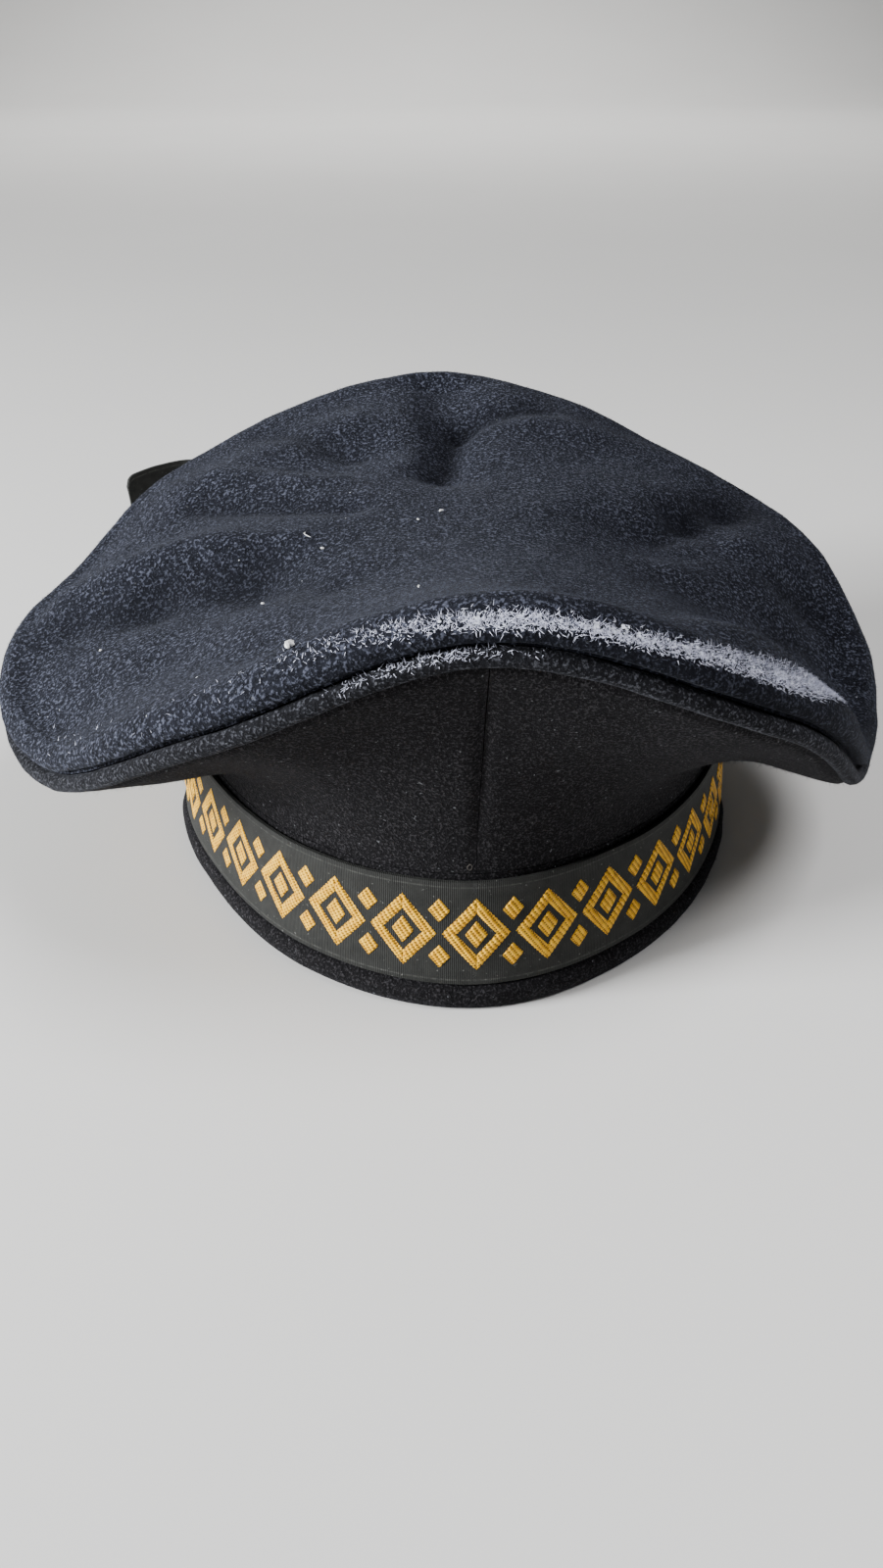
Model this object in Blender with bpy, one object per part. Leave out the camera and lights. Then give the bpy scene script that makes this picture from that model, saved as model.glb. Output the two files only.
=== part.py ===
"""A sailor cap lying on a table: a soft wool crown, its rolled piping, four side panels,
a head band with a rolled lower welt, and a ribbon tied round the band.

Metres, +Z up. The front of the cap faces -Y, and the lower welt rests on z = 0.
Angles go round the cap in degrees: 0 is the front, 90 is +X, -90 is -X, 180 is the back.
"""
import math
from collections import namedtuple

import bmesh
import bpy
import numpy as np

# Clearance between pieces that touch
GAP = 0.0003

# Sizes of the head band, its rolled lower welt and its ribbon
BAND_WIDTH = 0.184
BAND_LENGTH = 0.206
BAND_TAPER = 0.0025
BAND_LEAN = 0.0040
BAND_CLOTH = 0.0028
WELT_HEIGHT = 0.0078
WELT_WIDTH = 0.0084
RIBBON_WIDTH = 0.0320
RIBBON_THICKNESS = 0.0010
BAND_ABOVE_RIBBON = 0.0015
RIBBON_FOOT = WELT_HEIGHT + GAP
BAND_HEIGHT = RIBBON_FOOT + RIBBON_WIDTH + BAND_ABOVE_RIBBON

# Sizes of the crown
CROWN_WIDTH = 0.276
CROWN_LENGTH = 0.240
CROWN_HEIGHT = 0.117
CROWN_CENTRE_HEIGHT = 0.106
CROWN_CLOTH = 0.0022
PIPING_WIDTH = 0.0050
ROLL_SIZE = 0.0120
FOLD_HEIGHT = 0.005

# A side panel stands up from the band before it bends out, and leaves the piping at an
# angle below level that grows with the rim's height.
PANEL_CLOTH = 0.0020
PANEL_RISE = 0.026
PANEL_TUCK = 0.022
TUCK_ANGLE_LOW = 12
TUCK_ANGLE_HIGH = 62

# Sizes of the ribbon's knot and tied ends
KNOT_WIDTH = 0.016
KNOT_THICKNESS = 0.0085
KNOT_HEIGHT = 0.030
TAIL_LENGTH = 0.150

# How finely the faces are divided
ROUND_STATIONS = 60
PIPING_SIDES = 8
PANEL_ROWS = 7
SHARP_ANGLE = 40

# The crown's field rises slowly from its centre and fast near the roll.
DOME_POWER = 2.3

# Side panels keep this many times the clearance where they are sewn to each other, so
# that their corners also clear.
SEAM_SLACK = 2

# Shares of a panel's cloth by which it starts in from the piping's middle, and of a
# knot's thickness by which its edges are rounded.
PANEL_INSET = 0.2
KNOT_ROUNDING = 0.3

# The soft band isn't quite an oval. Reach is a share of half its width and length.
BandRow = namedtuple("BandRow", "angle reach")
BAND = (
    BandRow(0, 1.03),
    BandRow(30, 0.99),
    BandRow(60, 0.975),
    BandRow(90, 1.00),
    BandRow(135, 1.00),
    BandRow(180, 1.00),
    BandRow(225, 1.00),
    BandRow(270, 1.01),
    BandRow(300, 0.965),
    BandRow(330, 0.995),
)

# The rim is where the crown's top meets the piping, seen from above and from the side.
# Reach is a share of half the crown's width and length, height a share of its height.
RimRow = namedtuple("RimRow", "angle reach height")
RIM = (
    RimRow(0, 1.02, 1.01),
    RimRow(28, 1.08, 0.80),
    RimRow(55, 0.99, 0.42),
    RimRow(75, 0.98, 0.34),
    RimRow(92, 1.00, 0.41),
    RimRow(112, 1.00, 0.58),
    RimRow(135, 1.00, 0.69),
    RimRow(180, 1.03, 0.91),
    RimRow(225, 1.01, 0.705),
    RimRow(250, 1.01, 0.53),
    RimRow(270, 1.03, 0.50),
    RimRow(287, 1.03, 0.43),
    RimRow(305, 1.01, 0.47),
    RimRow(332, 1.02, 0.76),
)

# The cloth rolls over the piping and runs in to the crown's field.
# Out and up are shares of ROLL_SIZE, from the piping's centre.
SectionRow = namedtuple("SectionRow", "out up")
ROLL = (
    SectionRow(-0.55, 1.04),
    SectionRow(-0.12, 0.95),
    SectionRow(0.16, 0.66),
    SectionRow(0.16, 0.40),
)

# The welt's section, as shares of its width and height, with a flat foot.
WELT = (
    SectionRow(0.24, 0.0),
    SectionRow(0.42, 0.17),
    SectionRow(0.50, 0.42),
    SectionRow(0.47, 0.70),
    SectionRow(0.30, 0.93),
    SectionRow(-0.30, 1.0),
    SectionRow(-0.46, 0.75),
    SectionRow(-0.50, 0.42),
    SectionRow(-0.42, 0.17),
    SectionRow(-0.24, 0.0),
)

# Rings of the crown's field, as shares of the way from its centre to the roll.
FIELD_RINGS = (0.12, 0.25, 0.38, 0.50, 0.61, 0.71, 0.80, 0.88, 0.95)

# Folds of the crown's field. Each runs from one place to another, seen from above. Places
# are shares of half the crown's width and length, spread a share of half its width, and
# lift a share of FOLD_HEIGHT, below 0 in a hollow.
Fold = namedtuple("Fold", "from_x from_y to_x to_y spread lift")
FOLDS = (
    Fold(0.00, 0.96, 0.00, 0.32, 0.09, -0.9),
    Fold(0.17, 0.84, 0.07, 0.32, 0.09, 0.6),
    Fold(0.46, 0.02, 0.60, 0.08, 0.15, -1.0),
    Fold(0.50, -0.16, 0.76, 0.08, 0.09, 0.7),
    Fold(0.84, 0.08, 0.88, -0.14, 0.08, -0.9),
    Fold(0.26, 0.68, 0.74, 0.60, 0.10, 0.6),
    Fold(-0.84, -0.10, -0.46, -0.24, 0.11, -1.0),
    Fold(-0.88, 0.06, -0.56, 0.02, 0.10, 0.6),
    Fold(-0.78, 0.28, -0.58, 0.36, 0.09, 0.3),
    Fold(-0.66, 0.46, -0.24, 0.70, 0.10, 0.6),
    Fold(-0.26, 0.42, -0.18, 0.50, 0.13, -0.5),
    Fold(-0.34, -0.78, -0.62, -0.48, 0.07, -0.4),
    Fold(0.44, -0.78, 0.76, -0.50, 0.09, 0.9),
    Fold(0.52, -0.40, 0.72, -0.26, 0.09, -0.4),
)

# The ribbon's tied ends, as shares of TAIL_LENGTH from the knot: to the side, to the back
# and up. One stands out past the crown and the other lies low behind the cap.
TailRow = namedtuple("TailRow", "side back lift")
LEFT_TAIL = (
    TailRow(0.00, 0.00, 0.00),
    TailRow(0.10, 0.03, 0.01),
    TailRow(0.22, 0.09, 0.05),
    TailRow(0.36, 0.18, 0.13),
    TailRow(0.50, 0.25, 0.20),
    TailRow(0.62, 0.265, 0.24),
    TailRow(0.72, 0.225, 0.24),
    TailRow(0.80, 0.155, 0.23),
)
RIGHT_TAIL = (
    TailRow(0.00, 0.00, 0.00),
    TailRow(0.10, 0.03, -0.01),
    TailRow(0.24, 0.08, -0.02),
    TailRow(0.40, 0.11, -0.03),
    TailRow(0.54, 0.10, -0.035),
    TailRow(0.66, 0.06, -0.04),
    TailRow(0.75, 0.00, -0.04),
)


def remove_all_objects():
    for old in list(bpy.data.objects):
        bpy.data.objects.remove(old, do_unlink=True)


def ring_value(table, name, angle):
    """Read a column of a table at an angle, smoothly and all the way round."""
    column = table[0]._fields.index(name)
    angles = [row.angle for row in table]
    values = [row[column] for row in table]
    count = len(table)
    angle %= 360
    here = max(i for i in range(count) if angles[i] <= angle)

    def knot(i):
        turns, place = divmod(i, count)
        return angles[place] + 360 * turns, values[place]

    (a0, v0), (a1, v1), (a2, v2), (a3, v3) = (knot(here + k) for k in (-1, 0, 1, 2))
    span = a2 - a1
    slope_1 = (v2 - v0) / (a2 - a0) * span
    slope_2 = (v3 - v1) / (a3 - a1) * span
    t = (angle - a1) / span
    return (v1 * (2 * t**3 - 3 * t**2 + 1) + slope_1 * (t**3 - 2 * t**2 + t)
            + v2 * (3 * t**2 - 2 * t**3) + slope_2 * (t**3 - t**2))


def unit(vector):
    return vector / np.linalg.norm(vector)


def around(width, length, angle):
    turn = math.radians(angle)
    return np.array([width / 2 * math.sin(turn), -length / 2 * math.cos(turn), 0.0])


def rim_point(angle):
    reach = ring_value(RIM, "reach", angle)
    point = around(CROWN_WIDTH * reach, CROWN_LENGTH * reach, angle)
    point[2] = CROWN_HEIGHT * ring_value(RIM, "height", angle)
    return point


def rim_frame(angle):
    """The directions out of the rim and up from it, square to its run."""
    aside = 0.5
    run = unit(rim_point(angle + aside) - rim_point(angle - aside))
    out = around(CROWN_LENGTH, CROWN_WIDTH, angle)
    out = unit(out - run * np.dot(out, run))
    up = np.cross(out, run)
    if up[2] < 0:
        up = -up
    return out, up


def band_point(angle, height, inset=0.0):
    """A point at the given height on the band's outer face, or further in by an inset."""
    share = height / BAND_HEIGHT
    shrink = 2 * (inset + BAND_TAPER * share)
    reach = ring_value(BAND, "reach", angle)
    point = around(BAND_WIDTH * reach - shrink, BAND_LENGTH * reach - shrink, angle)
    point[1] += BAND_LEAN * share
    point[2] = height
    return point


def fold_lift(x, y):
    """How far the folds raise or sink the crown's cloth at a place seen from above."""
    place = np.array([x / (CROWN_WIDTH / 2), y / (CROWN_LENGTH / 2)])
    total = 0.0
    for fold in FOLDS:
        start = np.array([fold.from_x, fold.from_y])
        run = np.array([fold.to_x, fold.to_y]) - start
        share = np.clip(np.dot(place - start, run) / np.dot(run, run), 0, 1)
        away = np.linalg.norm(place - start - run * share)
        total += fold.lift * math.exp(-(away / fold.spread)**2)
    return FOLD_HEIGHT * total


def crown_section(angle):
    """Outer points of the crown's cloth from near its centre to its edge at the piping."""
    rim = rim_point(angle)
    out, up = rim_frame(angle)
    roll = [rim + ROLL_SIZE * (out * row.out + up * row.up) for row in ROLL]
    edge = rim + out * CROWN_CLOTH / 2 + up * (PIPING_WIDTH / 2 + GAP)
    crest = roll[0]
    centre = np.array([0.0, 0.0, CROWN_CENTRE_HEIGHT])
    field = []
    for share in FIELD_RINGS:
        point = centre + (crest - centre) * share
        point[2] = centre[2] + (crest[2] - centre[2]) * share**DOME_POWER
        point[2] += fold_lift(point[0], point[1])
        field.append(point)
    return field + roll + [edge]


def offset_inward(grid, thickness, wrap):
    """Move a grid of points in along its normals by the cloth's thickness."""
    across = np.gradient(grid, axis=0)
    if wrap:
        along = (np.roll(grid, -1, axis=1) - np.roll(grid, 1, axis=1)) / 2
    else:
        along = np.gradient(grid, axis=1)
    normal = np.cross(across, along)
    normal /= np.linalg.norm(normal, axis=2)[:, :, None]
    return grid - normal * thickness


def material(name, colour, roughness):
    made = bpy.data.materials.new(name)
    made.use_nodes = True
    shader = made.node_tree.nodes["Principled BSDF"]
    shader.inputs["Base Color"].default_value = (*colour, 1)
    shader.inputs["Roughness"].default_value = roughness
    shader.inputs["Metallic"].default_value = 0.0
    return made


def solid(name, points, faces, finish):
    mesh = bpy.data.meshes.new(name)
    mesh.from_pydata([tuple(p) for p in points], [], faces)
    work = bmesh.new()
    work.from_mesh(mesh)
    bmesh.ops.recalc_face_normals(work, faces=work.faces)
    work.to_mesh(mesh)
    work.free()
    mesh.shade_smooth()
    mesh.set_sharp_from_angle(angle=math.radians(SHARP_ANGLE))
    mesh.materials.append(finish)
    made = bpy.data.objects.new(name, mesh)
    bpy.context.scene.collection.objects.link(made)
    return made


def skin_faces(rows, columns, wrap, start):
    faces = []
    for row in range(rows - 1):
        for column in range(columns if wrap else columns - 1):
            after = (column + 1) % columns
            a = start + row * columns
            b = a + columns
            faces.append((a + column, a + after, b + after, b + column))
    return faces


def cloth_ring(name, outer, inner, finish, poles=None):
    """Close two skins that run all round, with a pole each where they meet at the top."""
    rows, columns = outer.shape[:2]
    count = rows * columns
    points = [*outer.reshape(-1, 3), *inner.reshape(-1, 3)]
    faces = skin_faces(rows, columns, True, 0) + skin_faces(rows, columns, True, count)
    last = (rows - 1) * columns
    for column in range(columns):
        after = (column + 1) % columns
        faces.append((last + column, last + after, count + last + after, count + last + column))
        if poles is None:
            faces.append((column, after, count + after, count + column))
        else:
            faces.append((column, after, 2 * count))
            faces.append((count + column, count + after, 2 * count + 1))
    if poles is not None:
        points += list(poles)
    return solid(name, points, faces, finish)


def cloth_patch(name, outer, inner, finish):
    """Close two skins that have four edges."""
    rows, columns = outer.shape[:2]
    count = rows * columns
    points = [*outer.reshape(-1, 3), *inner.reshape(-1, 3)]
    faces = skin_faces(rows, columns, False, 0) + skin_faces(rows, columns, False, count)
    border = list(range(columns))
    border += [r * columns + columns - 1 for r in range(1, rows)]
    border += [(rows - 1) * columns + c for c in range(columns - 2, -1, -1)]
    border += [r * columns for r in range(rows - 2, 0, -1)]
    for i, a in enumerate(border):
        b = border[(i + 1) % len(border)]
        faces.append((a, b, count + b, count + a))
    return solid(name, points, faces, finish)


def closed_sweep(name, sections, finish):
    """Join closed sections that follow each other all round the cap."""
    grid = np.array(sections)
    stations, sides = grid.shape[:2]
    faces = []
    for station in range(stations):
        ahead = (station + 1) % stations
        for side in range(sides):
            beside = (side + 1) % sides
            faces.append((station * sides + side, ahead * sides + side,
                          ahead * sides + beside, station * sides + beside))
    return solid(name, grid.reshape(-1, 3), faces, finish)


def stations():
    return [360 * i / ROUND_STATIONS for i in range(ROUND_STATIONS)]


def make_crown_top(finish):
    outer = np.array([crown_section(angle) for angle in stations()]).transpose(1, 0, 2)
    inner = offset_inward(outer, CROWN_CLOTH, True)
    out_and_up = [rim_frame(angle) for angle in stations()]
    inner[-1] = [edge - out * CROWN_CLOTH for edge, (out, _) in zip(outer[-1], out_and_up)]
    top = np.array([0.0, 0.0, CROWN_CENTRE_HEIGHT])
    return cloth_ring("crown_top", outer, inner, finish, (top, top - (0, 0, CROWN_CLOTH)))


def make_piping(finish):
    sections = []
    for angle in stations():
        centre = rim_point(angle)
        out, up = rim_frame(angle)
        section = []
        for side in range(PIPING_SIDES):
            turn = 2 * math.pi * (side + 0.5) / PIPING_SIDES
            section.append(centre + PIPING_WIDTH / 2 * (out * math.cos(turn) + up * math.sin(turn)))
        sections.append(section)
    return closed_sweep("crown_piping", sections, finish)


def panel_section(angle):
    """Outer points of a side panel from the piping down to the band's top edge."""
    out, up = rim_frame(angle)
    rim = rim_point(angle)
    start = rim - up * (PIPING_WIDTH / 2 + GAP) - out * PANEL_CLOTH * PANEL_INSET
    end = band_point(angle, BAND_HEIGHT)
    end[2] += GAP
    lowest = min(row.height for row in RIM)
    share = (rim[2] / CROWN_HEIGHT - lowest) / (1 - lowest)
    tuck = math.radians(TUCK_ANGLE_LOW + (TUCK_ANGLE_HIGH - TUCK_ANGLE_LOW) * share)
    leave = start - PANEL_TUCK * (out * math.cos(tuck) + np.array([0, 0, math.sin(tuck)]))
    arrive = end + np.array([0.0, 0.0, PANEL_RISE])
    points = []
    for row in range(PANEL_ROWS):
        t = row / (PANEL_ROWS - 1)
        points.append(start * (1 - t)**3 + leave * 3 * t * (1 - t)**2
                      + arrive * 3 * t**2 * (1 - t) + end * t**3)
    return points


def make_side_panels(finish):
    names = ("front_right", "back_right", "back_left", "front_left")
    half_gap = math.degrees((GAP / 2) / (min(BAND_WIDTH, BAND_LENGTH) / 2)) * SEAM_SLACK
    step = 360 / ROUND_STATIONS
    for quarter, name in enumerate(names):
        first = 90 * quarter
        angles = [first + half_gap]
        angles += [first + step * i for i in range(1, int(90 / step))]
        angles += [first + 90 - half_gap]
        outer = np.array([panel_section(angle) for angle in angles]).transpose(1, 0, 2)
        inner = offset_inward(outer, PANEL_CLOTH, False)
        inner[0] = [p - rim_frame(a)[0] * PANEL_CLOTH for p, a in zip(outer[0], angles)]
        inner[-1] = [band_point(a, BAND_HEIGHT, PANEL_CLOTH) + (0, 0, GAP) for a in angles]
        cloth_patch("side_panel_" + name, outer, inner, finish)


def band_wall(name, bottom, top, outset, thickness, finish):
    heights = (bottom, top)
    outer = np.array([[band_point(a, z, -outset) for a in stations()] for z in heights])
    inner = np.array([[band_point(a, z, thickness - outset) for a in stations()] for z in heights])
    return cloth_ring(name, outer, inner, finish)


def make_lower_welt(finish):
    sections = []
    for angle in stations():
        section = []
        for row in WELT:
            inset = BAND_CLOTH / 2 - WELT_WIDTH * row.out
            section.append(band_point(angle, WELT_HEIGHT * row.up, inset))
        sections.append(section)
    return closed_sweep("lower_welt", sections, finish)


def knot_centre():
    """The knot sits against the ribbon at the back, half way up it."""
    middle = RIBBON_FOOT + RIBBON_WIDTH / 2
    heights = (middle - KNOT_HEIGHT / 2, middle + KNOT_HEIGHT / 2)
    seat = max(band_point(180, z, -RIBBON_THICKNESS - 2 * GAP)[1] for z in heights)
    return np.array([0.0, seat + KNOT_THICKNESS / 2, middle])


def make_knot(finish):
    """A ribbon wound once round itself, as a block with rounded edges."""
    work = bmesh.new()
    bmesh.ops.create_cube(work, size=1)
    size = (KNOT_WIDTH, KNOT_THICKNESS, KNOT_HEIGHT)
    bmesh.ops.scale(work, verts=work.verts, vec=size)
    bmesh.ops.bevel(work, geom=work.edges, offset=KNOT_THICKNESS * KNOT_ROUNDING, segments=2,
                    profile=0.5, affect="EDGES")
    bmesh.ops.translate(work, verts=work.verts, vec=knot_centre())
    points = [tuple(v.co) for v in work.verts]
    faces = [[v.index for v in f.verts] for f in work.faces]
    work.free()
    solid("ribbon_knot", points, faces, finish)


def make_tail(name, table, side, finish):
    """A strip of ribbon that stands on its edge, from the knot to its cut end."""
    start = knot_centre() + (side * (KNOT_WIDTH / 2 + GAP), 0, 0)
    path = [start + TAIL_LENGTH * np.array([side * row.side, row.back, row.lift]) for row in table]
    outer, inner = [], []
    for i, point in enumerate(path):
        run = unit(path[min(i + 1, len(path) - 1)] - path[max(i - 1, 0)])
        if i == 0:
            run = np.array([float(side), 0.0, 0.0])
        face = unit(np.cross(run, (0, 0, 1))) * RIBBON_THICKNESS / 2
        for skin, way in ((outer, 1), (inner, -1)):
            skin.append([point + face * way + (0, 0, RIBBON_WIDTH / 2 * end) for end in (1, -1)])
    outer = np.array(outer).transpose(1, 0, 2)
    inner = np.array(inner).transpose(1, 0, 2)
    cloth_patch(name, outer, inner, finish)


def centre_over_origin():
    """Put the middle of the whole cap's outline over the origin."""
    meshes = [made.data for made in bpy.data.objects]
    points = np.array([v.co for mesh in meshes for v in mesh.vertices])
    middle = (points.min(axis=0) + points.max(axis=0)) / 2
    for mesh in meshes:
        for v in mesh.vertices:
            v.co.x -= middle[0]
            v.co.y -= middle[1]


def build_cap():
    remove_all_objects()
    wool = material("navy_melton_wool", (0.016, 0.019, 0.028), 0.95)
    dark_wool = material("dark_navy_wool", (0.009, 0.010, 0.014), 0.95)
    ribbon = material("black_ribbon", (0.013, 0.016, 0.015), 0.6)
    make_crown_top(wool)
    make_piping(dark_wool)
    make_side_panels(dark_wool)
    band_wall("head_band", RIBBON_FOOT, BAND_HEIGHT, 0.0, BAND_CLOTH, dark_wool)
    make_lower_welt(dark_wool)
    band_wall("cap_ribbon", RIBBON_FOOT, RIBBON_FOOT + RIBBON_WIDTH,
              GAP + RIBBON_THICKNESS, RIBBON_THICKNESS, ribbon)
    make_knot(ribbon)
    make_tail("ribbon_tail_left", LEFT_TAIL, -1, ribbon)
    make_tail("ribbon_tail_right", RIGHT_TAIL, 1, ribbon)
    centre_over_origin()


build_cap()
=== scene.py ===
"""Looks for a sailor cap: napped navy wool, a woven ribbon with a gold border, soft light.

Metres, +Z up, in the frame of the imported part. The front of the cap faces -Y.
Angles go round the cap in degrees: 0 is the front, 90 is +X, -90 is -X, 180 is the back.
"""
import math
from collections import namedtuple

import bmesh
import bpy
import numpy as np
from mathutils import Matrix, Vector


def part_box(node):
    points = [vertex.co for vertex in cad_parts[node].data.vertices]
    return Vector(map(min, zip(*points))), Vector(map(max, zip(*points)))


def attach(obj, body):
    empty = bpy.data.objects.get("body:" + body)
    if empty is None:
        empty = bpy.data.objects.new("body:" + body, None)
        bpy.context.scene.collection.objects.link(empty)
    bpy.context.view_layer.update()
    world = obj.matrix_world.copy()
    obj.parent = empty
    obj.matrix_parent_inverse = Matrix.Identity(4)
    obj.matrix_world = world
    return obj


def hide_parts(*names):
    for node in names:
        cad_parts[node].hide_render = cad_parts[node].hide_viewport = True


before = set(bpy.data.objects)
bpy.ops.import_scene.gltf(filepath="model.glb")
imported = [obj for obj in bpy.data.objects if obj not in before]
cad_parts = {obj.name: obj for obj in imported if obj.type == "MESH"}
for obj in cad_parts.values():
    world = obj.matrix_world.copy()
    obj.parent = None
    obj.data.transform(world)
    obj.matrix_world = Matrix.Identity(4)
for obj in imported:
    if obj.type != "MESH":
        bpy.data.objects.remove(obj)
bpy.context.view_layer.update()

SEED = 11
UP = np.array([0.0, 0.0, 1.0])


def table_of(fields, *values):
    """A table whose rows have named fields."""
    row = namedtuple("Row", fields)
    return [row(*value) for value in values]


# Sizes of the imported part, as in its source
GAP = 0.0003
BAND_WIDTH = 0.184
BAND_LENGTH = 0.206
BAND_TAPER = 0.0025
BAND_LEAN = 0.0040
BAND_CLOTH = 0.0028
WELT_HEIGHT = 0.0078
WELT_WIDTH = 0.0084
RIBBON_WIDTH = 0.0320
RIBBON_THICKNESS = 0.0010
BAND_ABOVE_RIBBON = 0.0015
RIBBON_FOOT = WELT_HEIGHT + GAP
BAND_HEIGHT = RIBBON_FOOT + RIBBON_WIDTH + BAND_ABOVE_RIBBON
CROWN_WIDTH = 0.276
CROWN_LENGTH = 0.240
CROWN_HEIGHT = 0.117
CROWN_CENTRE_HEIGHT = 0.106
CROWN_CLOTH = 0.0022
PIPING_WIDTH = 0.0050
ROLL_SIZE = 0.0120
FOLD_HEIGHT = 0.005
PANEL_CLOTH = 0.0020
PANEL_RISE = 0.026
PANEL_TUCK = 0.022
TUCK_ANGLE_LOW = 12
TUCK_ANGLE_HIGH = 62
PANEL_INSET = 0.2
KNOT_WIDTH = 0.016
KNOT_THICKNESS = 0.0085
KNOT_HEIGHT = 0.030
TAIL_LENGTH = 0.150
DOME_POWER = 2.3
PACKED_STATIONS = 60

BAND = table_of("angle reach",
    (0, 1.03), (30, 0.99), (60, 0.975), (90, 1.00), (135, 1.00), (180, 1.00), (225, 1.00),
    (270, 1.01), (300, 0.965), (330, 0.995))
RIM = table_of("angle reach height",
    (0, 1.02, 1.01), (28, 1.08, 0.80), (55, 0.99, 0.42), (75, 0.98, 0.34), (92, 1.00, 0.41),
    (112, 1.00, 0.58), (135, 1.00, 0.69), (180, 1.03, 0.91), (225, 1.01, 0.705),
    (250, 1.01, 0.53), (270, 1.03, 0.50), (287, 1.03, 0.43), (305, 1.01, 0.47), (332, 1.02, 0.76))
ROLL = table_of("out up",
    (-0.55, 1.04), (-0.12, 0.95), (0.16, 0.66), (0.16, 0.40))
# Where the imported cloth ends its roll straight, the real one turns in over the piping.
TURN_IN = table_of("out up",
    (0.172, 0.45), (0.115, 0.345), (-0.03, 0.30))
EDGE_TUCK = 0.0003
WELT = table_of("out up",
    (0.24, 0.0), (0.42, 0.17), (0.50, 0.42), (0.47, 0.70), (0.30, 0.93), (-0.30, 1.0),
    (-0.46, 0.75), (-0.50, 0.42), (-0.42, 0.17), (-0.24, 0.0))
FOLD = "from_x from_y to_x to_y spread lift"
FOLDS = table_of(FOLD,
    (0.00, 0.96, 0.00, 0.32, 0.09, -0.9), (0.17, 0.84, 0.07, 0.32, 0.09, 0.6),
    (0.46, 0.02, 0.60, 0.08, 0.15, -1.0), (0.50, -0.16, 0.76, 0.08, 0.09, 0.7),
    (0.84, 0.08, 0.88, -0.14, 0.08, -0.9), (0.26, 0.68, 0.74, 0.60, 0.10, 0.6),
    (-0.84, -0.10, -0.46, -0.24, 0.11, -1.0), (-0.88, 0.06, -0.56, 0.02, 0.10, 0.6),
    (-0.78, 0.28, -0.58, 0.36, 0.09, 0.3), (-0.66, 0.46, -0.24, 0.70, 0.10, 0.6),
    (-0.26, 0.42, -0.18, 0.50, 0.13, -0.5), (-0.34, -0.78, -0.62, -0.48, 0.07, -0.4),
    (0.44, -0.78, 0.76, -0.50, 0.09, 0.9), (0.52, -0.40, 0.72, -0.26, 0.09, -0.4))
# Finer creases of the same cloth, which fade towards the roll.
CREASES = table_of(FOLD,
    (-0.93, -0.05, -0.67, -0.11, 0.06, -0.6), (-0.67, -0.11, -0.44, -0.16, 0.07, -0.6),
    (-0.44, -0.16, -0.28, -0.40, 0.08, -0.5), (-0.77, 0.03, -0.37, -0.07, 0.05, 0.3),
    (-0.61, 0.32, -0.25, 0.10, 0.05, -0.6), (-0.58, 0.45, -0.29, 0.31, 0.05, 0.45),
    (-0.52, 0.78, -0.24, 0.50, 0.05, -0.5), (-0.08, 0.86, -0.08, 0.40, 0.07, 0.4),
    (-0.03, 0.34, 0.04, 0.66, 0.045, -0.55), (0.05, 0.68, 0.27, 0.76, 0.05, -0.75),
    (0.47, 0.06, 0.56, 0.20, 0.05, -0.45), (0.56, 0.20, 0.69, 0.33, 0.06, -0.75),
    (0.69, 0.33, 0.85, 0.48, 0.07, -0.85), (0.85, 0.48, 0.93, 0.32, 0.06, -0.6),
    (0.52, 0.02, 0.70, 0.13, 0.05, 0.4), (0.70, 0.13, 0.96, 0.25, 0.05, 0.35),
    (0.77, 0.02, 0.90, 0.05, 0.045, -0.6), (0.90, 0.05, 0.95, -0.08, 0.045, -0.6),
    (0.70, -0.20, 0.81, -0.16, 0.05, -0.5))
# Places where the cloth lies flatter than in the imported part.
EASED = table_of(FOLD,
    (0.17, 0.84, 0.07, 0.32, 0.09, -0.5), (0.52, -0.40, 0.72, -0.26, 0.09, 0.4))
CREASE_FADE = 6
LEFT_TAIL = table_of("side back lift",
    (0.00, 0.00, 0.00), (0.10, 0.03, 0.01), (0.22, 0.09, 0.05), (0.36, 0.18, 0.13),
    (0.50, 0.25, 0.20), (0.62, 0.265, 0.24), (0.72, 0.225, 0.24), (0.80, 0.155, 0.23))
RIGHT_TAIL = table_of("side back lift",
    (0.00, 0.00, 0.00), (0.10, 0.03, -0.01), (0.24, 0.08, -0.02), (0.40, 0.11, -0.03),
    (0.54, 0.10, -0.035), (0.66, 0.06, -0.04), (0.75, 0.00, -0.04))

# How finely the cloth is divided
ROUND_STEPS = 288
FIELD_ROWS = 58
FIELD_START = 0.02
FIELD_END = 0.95
ROLL_STEPS = 4
TURN_IN_ROWS = 3 * ROLL_STEPS
EDGE_STEPS = 360
PIPING_SIDES = 14
PANEL_ROWS = 40
PANEL_ROW_POWER = 1.35
PANEL_STEPS = 72
PANEL_STEP_POWER = 1.3
BAND_ROWS = 12
WELT_STEPS = 3
RIBBON_STEPS = 480
RIBBON_ROWS = 17
RIBBON_SHARES = (1 - np.cos(np.linspace(0, math.pi, RIBBON_ROWS))) / 2
TAIL_STEPS = 16
KNOT_ROWS = 22
KNOT_SIDES = 72
STRAND_SIDES = 5
SHARP_ANGLE = 50

# Soft random unevenness of the cloth. The piping's height is a share of its radius.
Wave = namedtuple("Wave", "height size seed")
CROWN_WAVES = (Wave(0.00035, 0.060, SEED), Wave(0.00012, 0.014, SEED + 1))
PIPING_WAVE = Wave(0.04, 0.012, SEED + 2)
PANEL_WAVE = Wave(0.0006, 0.045, SEED + 3)
WELT_WAVE = Wave(0.0003, 0.016, SEED + 4)
RIBBON_WAVE = Wave(0.00035, 0.045, SEED + 5)
WAVES = 9

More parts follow.
